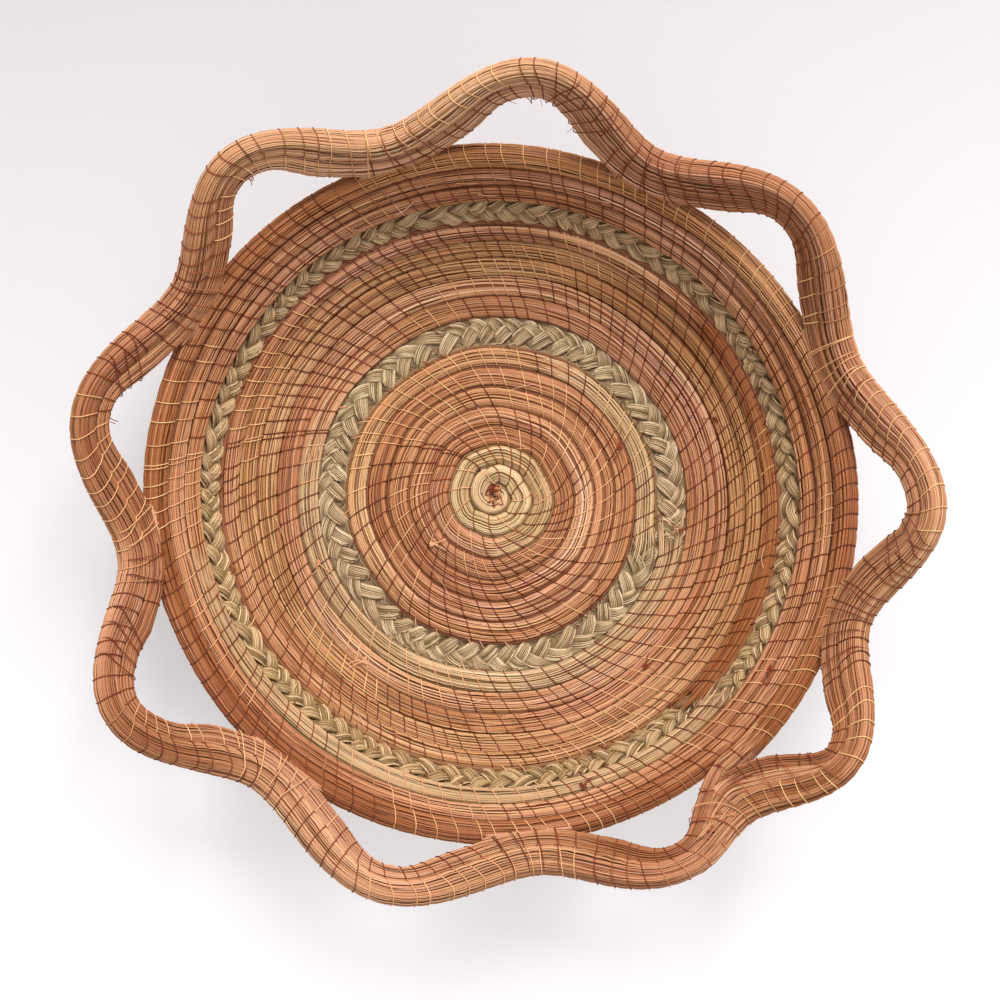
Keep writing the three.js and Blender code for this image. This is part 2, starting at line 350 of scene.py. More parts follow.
def wedge_edges(turn):
    """Middles of the coils on both sides of the wedge where the border's two ends meet."""
    share = smoothstep(rim_turn(INNER_COIL_END - 2.5), rim_turn(INNER_COIL_END + 3.5), turn)[..., None]
    inner = inner_path(turn) * (1 - share) + inner_path(turn - 1) * share
    return inner, outer_path(turn)


def wedge_path(turn):
    inner, outer = wedge_edges(turn)
    return (inner + outer) / 2


def unit(vectors):
    return vectors / np.linalg.norm(vectors, axis=-1, keepdims=True)


def frame_on(path, turn):
    """Point, direction, upper side and outward side of a bundle on a path."""
    small = 1e-4
    turn = np.asarray(turn, float)
    point = path(turn)
    along = unit(path(turn + small) - path(turn - small))
    _, _, slope = bowl_profile(reach(turn))
    angle = FULL_TURN * turn
    up = np.stack([-np.sin(slope) * np.sin(angle), -np.sin(slope) * np.cos(angle), np.cos(slope)], axis=-1)
    up = unit(up - along * np.sum(up * along, axis=-1, keepdims=True))
    return point, along, up, np.cross(up, along)


def arc_table(path, start, end):
    """Turns past both ends of a stretch, the lengths at them, counted from its start, and its own length."""
    past = 0.25
    steps_per_turn = 400
    turns = np.linspace(start - past, end + past, int((end - start + 2 * past) * steps_per_turn) + 2)
    turns = turns[turns >= START_TURN - 0.02]
    steps = np.linalg.norm(np.diff(path(turns), axis=0), axis=1)
    lengths = np.concatenate([[0], np.cumsum(steps)])
    lengths = lengths - np.interp(start, turns, lengths)
    return turns, lengths, np.interp(end, turns, lengths)


def pace(path, turn):
    """Length along a path for a whole turn, at a turn."""
    small = 1e-3
    return np.linalg.norm(path(turn + small) - path(turn - small), axis=-1) / (2 * small)


def squared(value):
    """Bends a sine or cosine so that a bundle's section is a little flatter than an ellipse."""
    return np.sign(value) * np.abs(value) ** (2 / BUNDLE_SQUARE)


def section(width, angle, inset):
    """Outward and upward place on a bundle's section, some way inside its skin."""
    height = np.where(np.sin(angle) > 0, BUNDLE_TOP, BUNDLE_FOOT) * width
    return squared(np.cos(angle)) * (width * BUNDLE_SIDE - inset), squared(np.sin(angle)) * (height - inset)


def wander(along, rng, waves, together=False):
    """Smooth random drift along a bundle, about one unit either way, of each needle or of all together."""
    drift = np.zeros_like(along)
    count = 1 if together else len(along)
    for wave in waves:
        phase = rng.uniform(0, FULL_TURN, (count, 1))
        length = wave * rng.uniform(0.75, 1.3, (count, 1))
        drift += np.sin(FULL_TURN * along / length + phase)
    return drift / math.sqrt(len(waves))


def add_object(name, data):
    added = bpy.data.objects.new(name, data)
    bpy.context.scene.collection.objects.link(added)
    return added


def tubes(name, centre, first, second, radius, tint, closed=False, sides=5):
    """One mesh of many tubes: each row of centres is a tube, with a ring of corners at each centre."""
    strands, rings = radius.shape
    corner = FULL_TURN * np.arange(sides) / sides
    spread = first[:, :, None] * np.cos(corner)[:, None] + second[:, :, None] * np.sin(corner)[:, None]
    places = centre[:, :, None] + spread * radius[:, :, None, None]
    index = np.arange(strands * rings * sides).reshape(strands, rings, sides)
    here = index if closed else index[:, :-1]
    there = np.roll(index, -1, axis=1) if closed else index[:, 1:]
    faces = np.stack([here, there, np.roll(there, -1, axis=2), np.roll(here, -1, axis=2)], axis=-1)

    # One strip of the bake map for each tube, in columns of strips
    columns = max(1, int(math.sqrt(strands / 30)))
    rows = math.ceil(strands / columns)
    column, row = np.divmod(np.arange(strands), rows)
    spans = here.shape[1]
    u = (column[:, None] + 0.01 + 0.98 * (np.arange(spans + 1) / spans)) / columns
    v = (row[:, None] + 0.08 + 0.84 * (np.arange(sides + 1) / sides)) / rows
    u_corner = np.stack([u[:, :-1], u[:, 1:], u[:, 1:], u[:, :-1]], axis=-1)[:, :, None]
    v_corner = np.stack([v[:, :-1], v[:, :-1], v[:, 1:], v[:, 1:]], axis=-1)[:, None]
    bake = np.stack(np.broadcast_arrays(u_corner, v_corner), axis=-1)

    mesh = bpy.data.meshes.new(name)
    mesh.vertices.add(places.size // 3)
    mesh.vertices.foreach_set("co", (places * MM).ravel())
    mesh.loops.add(faces.size)
    mesh.loops.foreach_set("vertex_index", faces.ravel())
    quads = faces.size // 4
    mesh.polygons.add(quads)
    mesh.polygons.foreach_set("loop_start", np.arange(quads) * 4)
    mesh.update(calc_edges=True)
    mesh.polygons.foreach_set("use_smooth", np.ones(quads, bool))
    layer = mesh.uv_layers.new(name="OFBake")
    layer.data.foreach_set("uv", bake.ravel())
    colours = np.ones((strands, rings, sides, 4))
    colours[..., :3] = tint[:, :, None]
    attribute = mesh.attributes.new("Tint", "FLOAT_COLOR", "POINT")
    attribute.data.foreach_set("color", colours.ravel())
    return add_object(name, mesh)


class Stitches:
    """Sewing stitches along one path: the turn of each, its slant and its tone, pale 0 to dark 1."""

    def __init__(self, path, turns, slants, tones):
        order = np.argsort(turns)
        self.path = path
        self.turns, self.slants, self.tones = [np.array(values)[order] for values in (turns, slants, tones)]


def thread_tones(turns, pale_side, share, rng):
    """Pale thread mostly towards one side of the basket and dark elsewhere, in runs of stitches."""
    mood = 0.9 * wander(turns[None], rng, (0.21, 0.36, 0.77))[0]
    mood = mood + 0.6 * np.cos(FULL_TURN * (turns - pale_side))
    pale = mood > np.quantile(mood, 1 - share)
    return np.where(pale, rng.uniform(0.0, 0.3, len(turns)), rng.uniform(*DARK_THREAD, len(turns)))


def run_tones(turns, runs, rng):
    """Tones of stitches sewn in runs of pale and dark thread."""
    ends, tones = np.array(runs).T
    tones = tones[np.searchsorted(ends, turns % 1 * 360)] + rng.uniform(-0.14, 0.14, len(turns))
    return tones.clip(0, 1)


def row_slant(turn):
    """Slope of the stitches across a row: slanted on the base, nearly square to the row at the rim."""
    slant = np.interp(turn, [1.0, 2.5, 7.0, 9.0, 13.0, 16.5], [0.35, 0.58, 0.52, 0.5, 0.48, 0.36])
    return slant * (1 + 0.25 * np.cos(FULL_TURN * (turn - 0.35)))


def row_stitches(rng):
    """Each stitch starts where one of the row before ended, with more put in as the rows get longer."""
    current = list(START_TURN + 0.03 + np.arange(FIRST_STITCHES) / FIRST_STITCHES)
    found = list(current)
    while current[0] + 1 < RIM_COIL_END:
        following = []
        for turn in current:
            here = row_slant(turn) * row_width(turn) / pace(row_path, turn)
            there = row_slant(turn + 1) * row_width(turn + 1) / pace(row_path, turn + 1)
            uneven = rng.normal(0, 0.3) / pace(row_path, turn + 1)
            following.append(float(turn + 1 - (here + there) / 2 + uneven))
        following.append(following[0] + 1)
        filled = []
        for turn, after in zip(following[:-1], following[1:]):
            filled.append(turn)
            widest = np.interp(turn, [2, 4, 7, 12], [6.0, 7.6, 9.2, 8.8])
            if (after - turn) * float(pace(row_path, turn)) > widest:
                filled.append((turn + after) / 2)
        current = filled
        found += filled
    turns = np.array(sorted(turn for turn in found if turn < RIM_COIL_END - 0.004))
    slants = row_slant(turns) + rng.normal(0, 0.04, len(turns))
    tones = []
    for low, high, pale_side, share in ((0, 7.3, 0.88, 0.45), (7.3, 13.4, 0.8, 0.22), (13.4, 15.4, 0.5, 0.2)):
        tones.append(thread_tones(turns[(turns >= low) & (turns < high)], pale_side, share, rng))
    for low, high, runs in ((15.4, 16.4, NECK_THREADS), (16.4, 18, RIM_THREADS)):
        tones.append(run_tones(turns[(turns >= low) & (turns < high)], runs, rng))
    return Stitches(row_path, turns, slants, np.concatenate(tones))


def border_stitches(rng):
    """Stitches of the outer coil, and of the inner coil, which go on from those of the outer coil."""
    start, end = rim_turn(OUTER_COIL_SEAM), rim_turn(OUTER_COIL_SEAM + 360)
    turns, lengths, total = arc_table(outer_path, start, end)
    places = np.arange(3, total - 1, BORDER_STITCH_GAP)
    places = places + rng.normal(0, 0.8, len(places))
    at = np.sort(np.interp(places, lengths, turns))
    slants = BORDER_SLANT + rng.normal(0, 0.08, len(at))
    outer = Stitches(outer_path, at, slants, run_tones(at, OUTER_THREADS, rng))
    half = BORDER_ROW / 2
    inner_at = at + slants * half * (1 / pace(outer_path, at) + 1 / pace(inner_path, at))
    kept = inner_at < rim_turn(INNER_COIL_END - 0.5)
    for low, high in LASHED_FLANKS:
        kept &= (inner_at < rim_turn(low - 1)) | (inner_at > rim_turn(high))
    first = rim_turn(np.array([137.0, 140.5, 144.0, 147.0]))
    inner_at = np.concatenate([first, inner_at[kept]])
    slants = np.concatenate([np.full(len(first), 0.2), slants[kept]])
    inner = Stitches(inner_path, inner_at, slants, run_tones(inner_at, INNER_THREADS, rng))
    return inner, outer


def needle_bundle(name, path, start, end, stitches, lighter, seams, rng):
    """A round bundle of needles that runs along a path, drawn in a little at each stitch.

    The seams say whether its inner and its outer side lie against another row, where painted shade darkens
    it.
    """
    turns, lengths, total = arc_table(path, start, end)
    width = float(bundle_width(path, np.linspace(start, end, 200)).max())
    count = round(BUNDLE_GIRTH * width / NEEDLE_PITCH)
    spacing = FULL_TURN / count
    place = spacing * (np.arange(count) + rng.uniform(-PLACE_UNEVEN, PLACE_UNEVEN, count))[:, None]

    # A ring of corners where each stitch crosses a needle, and some between
    here = (stitches.turns > start) & (stitches.turns < end)
    crossing = np.interp(stitches.turns[here], turns, lengths)
    crossing = crossing - stitches.slants[here] * squared(np.cos(place)) * width / 2
    begin = np.maximum(rng.uniform(-SPLICE, -1, (count, 1)), lengths[0])
    finish = total + rng.uniform(1, SPLICE, (count, 1))
    stops = np.sort(np.concatenate([begin, crossing, finish], axis=1), axis=1)
    shares = np.arange(RINGS_PER_STITCH) / RINGS_PER_STITCH
    along = (stops[:, :-1, None] + np.diff(stops, axis=1)[..., None] * shares).reshape(count, -1)
    along = np.concatenate([along, stops[:, -1:]], axis=1)
    drawn = np.ones(along.shape[1])
    drawn[RINGS_PER_STITCH:-1:RINGS_PER_STITCH] -= PINCH
    turn = np.interp(along, lengths, turns)

    # One needle after another fills each place in the bundle
    number = (along + rng.uniform(0, NEEDLE_LENGTH, (count, 1))) / NEEDLE_LENGTH
    which = np.floor(number).astype(int)
    which -= which.min()
    gap = np.abs(number - np.round(number)) * NEEDLE_LENGTH
    at_end = np.minimum(along - along[:, :1], along[:, -1:] - along)
    needles = (count, which.max() + 1)
    rows = np.arange(count)[:, None]
    tone = rng.normal(0.5 + lighter, TONE_SPREAD, needles)[rows, which]
    tone = tone + TONE_DRIFT * wander(along, rng, (110, 260), True)
    hue = rng.normal(0.5, HUE_SPREAD, needles)[rows, which] + HUE_DRIFT * wander(along, rng, (160, 330), True)
    for middle, half, paler, tanner in PATCHES:
        patch = np.exp(-((turn - middle) / half) ** 4)
        tone = tone + paler * patch
        hue = hue + tanner * patch
    thick = rng.uniform(*NEEDLE_THICKNESS, needles)[rows, which]
    depth = rng.uniform(0, NEEDLE_DEPTH, needles)[rows, which]
    taper = 1 - TIP_NARROW * np.exp(-(gap / NEEDLE_TAPER) ** 2)
    taper *= END_WIDTH + (1 - END_WIDTH) * np.clip(at_end / NEEDLE_TAPER, 0, 1) ** 0.7

    radius = 0.5 * NEEDLE_PITCH * NEEDLE_FULL * thick * taper
    angle = place + spacing * NEEDLE_SWAY * wander(along, rng, (55, 130)) + along / NEEDLE_TWIST
    inset = radius + depth + SKIN_UNEVEN * wander(along, rng, (40, 90))
    out, rise = section(bundle_width(path, turn), angle, inset)
    point, _, up, side = frame_on(path, turn)
    centre = point + side * (out * drawn)[..., None] + up * (rise * drawn)[..., None]
    centre[..., 2] = np.maximum(centre[..., 2], radius)
    sine, cosine = np.sin(angle)[..., None], np.cos(angle)[..., None]
    across = squared(np.cos(angle))
    # Painted shade: needles that lie deeper and the sides that lie against another row are darkened; tapered
    # ends are darker too
    seam = seams[0] * smoothstep(*SEAM_BAND, -across) + seams[1] * smoothstep(*SEAM_BAND, across)
    dark = np.clip(DEPTH_PAINTED_SHADE * depth - DARK_START + TIP_DARK * (1 - taper) + SEAM_PAINTED_SHADE * seam, 0, DARKEST)
    tint = np.clip(np.stack([tone, dark, hue], axis=-1), 0, 1)
    first, second = side * cosine + up * sine, up * cosine - side * sine
    return tubes(name, centre, first, second, radius, tint, sides=NEEDLE_SIDES)


def bundle_core(name, path, start, end, sewn_on):
    """Inside of a bundle, which shows between its needles, and of the seam to the next row it is sewn to."""
    turns, lengths, total = arc_table(path, start, end)
    turn = np.interp(np.linspace(0, total, math.ceil(total / CORE_STEP)), lengths, turns)
    turn = np.broadcast_to(turn, (1 + sewn_on, len(turn)))
    width = bundle_width(path, turn)[..., None]
    places = np.array(CORE_SHAPES)[:len(turn), None]
    out, rise, half_height, half_width = np.moveaxis(places[..., None], 2, 0) * width
    point, _, up, side = frame_on(path, turn)
    half_height = np.minimum(half_height, point[..., 2:] - 0.1)
    # Painted shade on the inside, darker in the rows than in the border
    dark = ROW_CORE_PAINTED_SHADE if path is row_path else BORDER_CORE_PAINTED_SHADE
    tint = np.broadcast_to([0.5, dark, 0.5], turn.shape + (3,))
    centre = point + side * out + up * rise
    full = np.ones(turn.shape)
    return tubes(name, centre, up * half_height, side * half_width, full, tint, sides=CORE_SIDES)


def add_threads(name, stitches, width, sink):
    """Loops of thread round a bundle, one for each stitch."""
    turns, slants = stitches.turns[:, None], stitches.slants[:, None]
    angle = FULL_TURN * np.arange(STITCH_RINGS)[None] / STITCH_RINGS
    out, rise = section(width[:, None], angle, sink)
    turn = turns - slants * out / pace(stitches.path, turns)
    point, along, up, side = frame_on(stitches.path, turn)
    centre = point + side * out[..., None] + up * rise[..., None]
    centre[..., 2] = np.maximum(centre[..., 2], THREAD_RADIUS)
    tangent = unit(np.roll(centre, -1, axis=1) - np.roll(centre, 1, axis=1))
    second = unit(np.cross(tangent, along))
    tint = np.zeros(turn.shape + (3,))
    tint[..., 0] = stitches.tones[:, None]
    tint[..., 2] = np.linspace(0, 1, len(turns))[:, None]
    radius = np.full(turn.shape, THREAD_RADIUS)
    loops = tubes(name, centre, np.cross(second, tangent), second, radius, tint, closed=True)
    finish_piece(loops, "thread")


def plait_lines(along, band, pitch, lean):
    """Sideways and upward place of the bands of a plait, which pass over one another."""
    uneven = 0.09 * np.sin(along / 15) + 0.06 * np.sin(along / 6.1 + 1)
    phase = FULL_TURN * (along / pitch + uneven + band / 3)
    leaning = phase + lean * np.cos(phase)
    swing = PLAIT_SWING * (1 + 0.07 * np.sin(along / 9 + 2 * band))
    across = swing * np.arcsin(PLAIT_BLUNT * np.sin(leaning)) / math.asin(PLAIT_BLUNT)
    return across, -PLAIT_WEAVE * np.sin(2 * phase)


def plait(name, start, end, pitch, lean, tone, painted_light_back, rng):
    """Flat plait of three bands of needles. A negative pitch points its chevrons the other way."""
    turns, lengths, total = arc_table(row_path, start, end)
    rings = math.ceil(total / PLAIT_STEP)
    count = 3 * PLAIT_NEEDLES
    band = np.repeat(np.arange(3), PLAIT_NEEDLES)[:, None]
    place = np.tile(FULL_TURN * np.arange(PLAIT_NEEDLES) / PLAIT_NEEDLES, 3)[:, None]
    along = np.linspace(-PLAIT_OVERRUN, total + PLAIT_OVERRUN, rings)[None]
    along = along + rng.uniform(-2, 2, (count, 1))
    across, height = plait_lines(along, band, pitch, lean)
    before, after = [plait_lines(along + step, band, pitch, lean)[0] for step in (-0.5, 0.5)]
    heading = np.arctan2(after - before, 1.0)
    narrow = 1 - 0.28 * np.abs(across / PLAIT_SWING) ** 4
    shift = ((PLAIT_BAND / 2 - 0.4) * np.cos(place) + 0.1 * wander(along, rng, (17, 31))) * narrow
    along = along - np.sin(heading) * shift
    across = across + np.cos(heading) * shift
    height = height + (PLAIT_BAND_HEIGHT / 2 - 0.3) * np.sin(place) + 0.07 * wander(along, rng, (13, 29))
    turn = np.interp(along, lengths, turns)
    point, _, up, side = frame_on(row_path, turn)
    centre = point + side * across[..., None] + up * height[..., None]
    radius = np.broadcast_to(rng.uniform(0.21, 0.34, (count, 1)), along.shape).copy()
    radius[:, [0, -1]] *= 0.2
    tangent = unit(np.gradient(centre, axis=1))
    first = unit(np.cross(up, tangent))
    tone = rng.normal(tone, 0.33, (count, 1)) + 0.12 * wander(along, rng, (30, 70))
    # Painted light and shade: paler at the back, darker at the front
    tone = tone + painted_light_back * np.cos(FULL_TURN * turn)
    hue = rng.uniform(0, 1, (count, 1)) + 0.25 * wander(along, rng, (90, 200), True)
    # Painted shade that depends on each strand's height in the weave, with some strands darker at random
    dark = np.clip(0.4 - 0.3 * np.abs(height) + rng.choice([-0.1, 0.0, 0.1, 0.45], (count, 1)), 0, 0.75)
    tint = np.clip(np.stack([tone, dark, np.broadcast_to(hue, along.shape)], axis=-1), 0, 1)
    return tubes(name, centre, first, np.cross(tangent, first), radius, tint, sides=NEEDLE_SIDES)


def plait_core(name, start, end, pitch, lean):
    """Flat inside of a plait, which closes the gaps between its bands."""
    turns, lengths, total = arc_table(row_path, start, end)
    along = np.linspace(0, total, math.ceil(total / 2.0))
    bands = np.arange(4)[:, None]
    across, height = plait_lines(along[None], bands, pitch, lean)
    flat = bands == 3
    across, height = np.where(flat, 0, across), np.where(flat, -0.8, height)
    turn = np.broadcast_to(np.interp(along, lengths, turns), across.shape)
    point, _, up, side = frame_on(row_path, turn)
    centre = point + side * across[..., None] + up * height[..., None]
    half_width = np.where(flat, 0.57 * BRAID_ROW, 0.36 * PLAIT_BAND)[..., None]
    # Painted shade on the inside, for the shade in the gaps between the bands
    tint = np.broadcast_to([0.3, 0.6, 0.5], across.shape + (3,))
    return tubes(name, centre, up * 0.75, side * half_width, np.ones(across.shape), tint, sides=CORE_SIDES)


def plait_edges(name, start, end, rng):
    """Needles at the bottom of the grooves along both edges of a plait."""
    turns, lengths, total = arc_table(row_path, start, end)
    along = np.linspace(-4, total + 4, math.ceil(total / 4))[None] + rng.uniform(-2, 2, (EDGE_NEEDLES, 1))
    turn = np.interp(along, lengths, turns)
    half = EDGE_NEEDLES // 2
    away = np.tile(np.linspace(4.2, 5.7, half), 2)[:, None] + 0.1 * wander(along, rng, (30, 80))
    out = np.repeat([-1, 1], half)[:, None] * away
    rise = rng.uniform(0.2, 0.7, (EDGE_NEEDLES, 1)) + 0.35 * (away - 4.8)
    tones = rng.normal(0.45, 0.25, EDGE_NEEDLES).clip(0, 1)
    # Painted shade for the bottom of the grooves
    dark = rng.uniform(0.25, 0.6, EDGE_NEEDLES)
    return line_piece(name, beside(row_path, turn, out, rise), tones, 0.26, dark=dark)


def beside(path, turn, out, rise, along=0):
    """Places outward, upward and along from the middle of a bundle."""
    point, _, up, side = frame_on(path, turn + along / pace(path, turn))
    return point + side * out[..., None] + up * rise[..., None]


def line_piece(name, lines, tones, radius, closed=False, dark=0.0, hue=None):
    """Threads or needle ends along lines of points."""
    centre = np.array(lines)
    tangent = unit(np.gradient(centre, axis=1))
    second = unit(np.cross(tangent, [0.12, 0.31, 0.94]))
    tint = np.zeros(centre.shape)
    tint[..., 0] = np.array(tones)[:, None]
    # The green share of the tint is painted shade
    tint[..., 1] = np.reshape(dark, (-1, 1))
    tint[..., 2] = np.linspace(0, 1, len(lines))[:, None] if hue is None else hue
    thick = np.broadcast_to(np.reshape(radius, (-1, 1)), centre.shape[:2]).copy()
    if not closed:
        thick[:, [0, -1]] *= 0.4
    return tubes(name, centre, np.cross(second, tangent), second, thick, tint, closed=closed)


def knot_wave(share, rng):
    """Smooth random wave round a closed loop, up to one unit either way."""
    wave = sum(np.sin(k * share + rng.uniform(0, FULL_TURN)) / k ** 0.5 for k in (1, 2, 3, 5))
    return wave / np.abs(wave).max()


def tangle(path, turn, out, rise, size, rng):
    """One closed wandering loop of thread that makes a small knot."""
    share = np.arange(KNOT_RINGS) / KNOT_RINGS * FULL_TURN
    moves = [reach_out * knot_wave(share, rng) for reach_out in (size, size, 0.45 * size)]
    return beside(path, turn, out + moves[1], rise + np.abs(moves[2]), moves[0])


def stray(path, turn, out, rise, heading, length, arch, curl):
    """A loose end that lies over the rows: it leaves at a heading, arches up and curls."""
    share = np.linspace(0, 1, STRAY_RINGS)
    bend = heading + curl * share
    step = length / (STRAY_RINGS - 1)
    ahead = np.concatenate([[0], np.cumsum(np.cos(bend[1:]) * step)])
    outward = np.concatenate([[0], np.cumsum(np.sin(bend[1:]) * step)])
    return beside(path, turn, out + outward, rise + arch * np.sin(share * math.pi * 0.85), ahead)


def linear(*display):
    """Colour given in display values of 0 to 255."""
    shares = [value / 255 for value in display]
    return [v / 12.92 if v <= 0.04045 else ((v + 0.055) / 1.055) ** 2.4 for v in shares] + [1.0]


def new_material(name):
    material = bpy.data.materials.new(name)
    material.use_nodes = True
    return material, material.node_tree, material.node_tree.nodes["Principled BSDF"]


def set_inputs(tree, node, values):
    """Links inputs of a node to other nodes, or sets them to constants."""
    for key, value in values.items():
        if isinstance(value, bpy.types.NodeSocket):
            tree.links.new(value, node.inputs[key])
        else:
            node.inputs[key].default_value = value


def range_node(tree, values):
    node = tree.nodes.new("ShaderNodeMapRange")
    set_inputs(tree, node, values)
    return node.outputs["Result"]


def ramp_node(tree, value, colours):
    ramp = tree.nodes.new("ShaderNodeValToRGB")
    elements = ramp.color_ramp.elements
    for index, colour in enumerate(colours):
        position = index / (len(colours) - 1)
        element = elements[index] if index < 2 else elements.new(position)
        element.position = position
        element.color = linear(*colour)
    set_inputs(tree, ramp, {"Fac": value})
    return ramp.outputs["Color"]


def noise_node(tree, scale, detail, place):
    noise = tree.nodes.new("ShaderNodeTexNoise")
    set_inputs(tree, noise, {"Scale": scale, "Detail": detail, "Vector": place})
    return noise.outputs["Fac"]


def mix_node(tree, kind, factor, first, second):
    mix = tree.nodes.new("ShaderNodeMix")
    mix.data_type = "RGBA"
    mix.blend_type = kind
    set_inputs(tree, mix, {0: factor, 6: first, 7: second})
    return mix.outputs[2]


# Large patches and fine specks of dried fibre: how many to a metre, and their shades
PATCH_SCALE = 45.0
PATCH_SHADES = [(196, 176, 166), (248, 246, 244), (255, 250, 236)]
SPECK_SCALE = 620.0
SPECK_SHADES = [(170, 138, 118), (250, 246, 242), (255, 255, 255)]
SHEEN = 0.22


def fibre_material(name, pink, tan, dark, roughness=0.5):
    """Dried plant fibre: a tone and a hue for each needle, streaks and patches, and painted shade where it
    lies deep.
    """
    material, tree, shader = new_material(name)
    tint = tree.nodes.new("ShaderNodeAttribute")
    tint.attribute_name = "Tint"
    parts = tree.nodes.new("ShaderNodeSeparateColor")
    set_inputs(tree, parts, {"Color": tint.outputs["Color"]})
    place = tree.nodes.new("ShaderNodeTexCoord").outputs["Object"]
    first = ramp_node(tree, parts.outputs["Red"], pink)
    second = ramp_node(tree, parts.outputs["Red"], tan)
    colour = mix_node(tree, "MIX", parts.outputs["Blue"], first, second)
    shade = ramp_node(tree, noise_node(tree, PATCH_SCALE, 3.0, place), PATCH_SHADES)
    colour = mix_node(tree, "MULTIPLY", 0.5, colour, shade)
    specks = noise_node(tree, SPECK_SCALE, 4.0, place)
    colour = mix_node(tree, "MULTIPLY", 0.4, colour, ramp_node(tree, specks, SPECK_SHADES))
    # Painted shade: the tint's green share mixes in the material's dark
    colour = mix_node(tree, "MIX", parts.outputs["Green"], colour, linear(*dark))
    rough = range_node(tree, {"Value": specks, "To Min": roughness - 0.1, "To Max": roughness + 0.12})
    bump = tree.nodes.new("ShaderNodeBump")
    set_inputs(tree, bump, {"Strength": 0.25, "Distance": 0.0002, "Height": specks})
    set_inputs(tree, shader, {"Base Color": colour, "Roughness": rough, "Specular IOR Level": SHEEN,
                              "Normal": bump.outputs["Normal"]})
    return material


# Each material: pinker and tanner needles from the darkest to the lightest, and its dark, which painted shade
# mixes in
PALETTES = {
    "needle_brown": (
        [(160, 93, 58), (196, 131, 97), (220, 164, 134), (242, 203, 181)],
        [(164, 102, 54), (202, 144, 94), (226, 176, 130), (246, 212, 176)], (104, 46, 14)),
    "needle_straw": (
        [(172, 109, 68), (206, 149, 105), (226, 177, 135), (244, 207, 171)],
        [(176, 119, 70), (210, 159, 105), (230, 189, 139), (246, 217, 177)], (106, 54, 18)),
    "needle_pale": (
        [(188, 142, 100), (212, 172, 128), (230, 196, 152), (246, 216, 178)],
        [(190, 156, 106), (214, 184, 134), (232, 208, 158), (246, 224, 184)], (116, 76, 34)),
    "needle_green": (
        [(170, 124, 90), (200, 158, 120), (218, 180, 142), (236, 202, 166)],
        [(162, 128, 88), (194, 160, 116), (214, 184, 138), (234, 206, 164)], (104, 70, 30)),
    "plait": (
        [(144, 110, 78), (184, 150, 116), (208, 178, 144), (238, 212, 178)],
        [(134, 114, 76), (178, 156, 114), (206, 184, 142), (236, 216, 178)], (84, 58, 24)),
    "plait_olive": (
        [(156, 116, 78), (198, 158, 116), (218, 182, 140), (236, 206, 166)],
        [(146, 118, 74), (192, 162, 112), (214, 186, 138), (234, 210, 166)], (86, 60, 26)),
    "border": (
        [(150, 88, 56), (188, 126, 94), (214, 158, 127), (234, 190, 160)],
        [(154, 96, 55), (194, 137, 92), (220, 170, 124), (238, 198, 154)], (98, 44, 18)),
    "thread": (
        [(242, 192, 146), (222, 158, 114), (152, 74, 46), (106, 42, 22)],
        [(246, 206, 146), (226, 176, 116), (128, 64, 34), (88, 36, 14)], (96, 40, 26), 0.55),
}
MATERIALS = {name: fibre_material(name, *palette) for name, palette in PALETTES.items()}
SLOTS = {entry["node"]: entry["material_slot"] for entry in frame["record"]["subparts"]}


def finish_piece(piece, slot, *nodes, material=None):
    piece.data.materials.append(MATERIALS[material or slot])
    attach(piece, "root")
    if nodes:
        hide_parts(*nodes)


# Pieces that look unlike the others in their slot
LOOKS = {"olive_lead_coil": "needle_brown", "border_outer_coil": "border", "border_inner_coil": "border",
         "inner_braid": "plait", "outer_braid": "plait_olive"}


def add_coil(node, path, start, end, stitches, lighter, sewn_on, rng):
    look = LOOKS.get(node)
    seams = (path is not inner_path, sewn_on)
    needles = needle_bundle(f"{node}_needles", path, start, end, stitches, lighter, seams, rng)
    finish_piece(needles, SLOTS[node], node, material=look)
    finish_piece(bundle_core(f"{node}_core", path, start, end, sewn_on), SLOTS[node], material=look)


def start_tail(share):
    """The bundle's end, curled inward from the start: middle line, outward side and width."""
    angle = FULL_TURN * (START_TURN + 0.03 - 0.95 * share)
    away = START_RADIUS - 5.4 * share ** 0.8
    outward = np.stack([np.sin(angle), np.cos(angle), 0 * angle], axis=-1)
    return outward * away[..., None], outward, 8.2 * (1 - 0.52 * share)


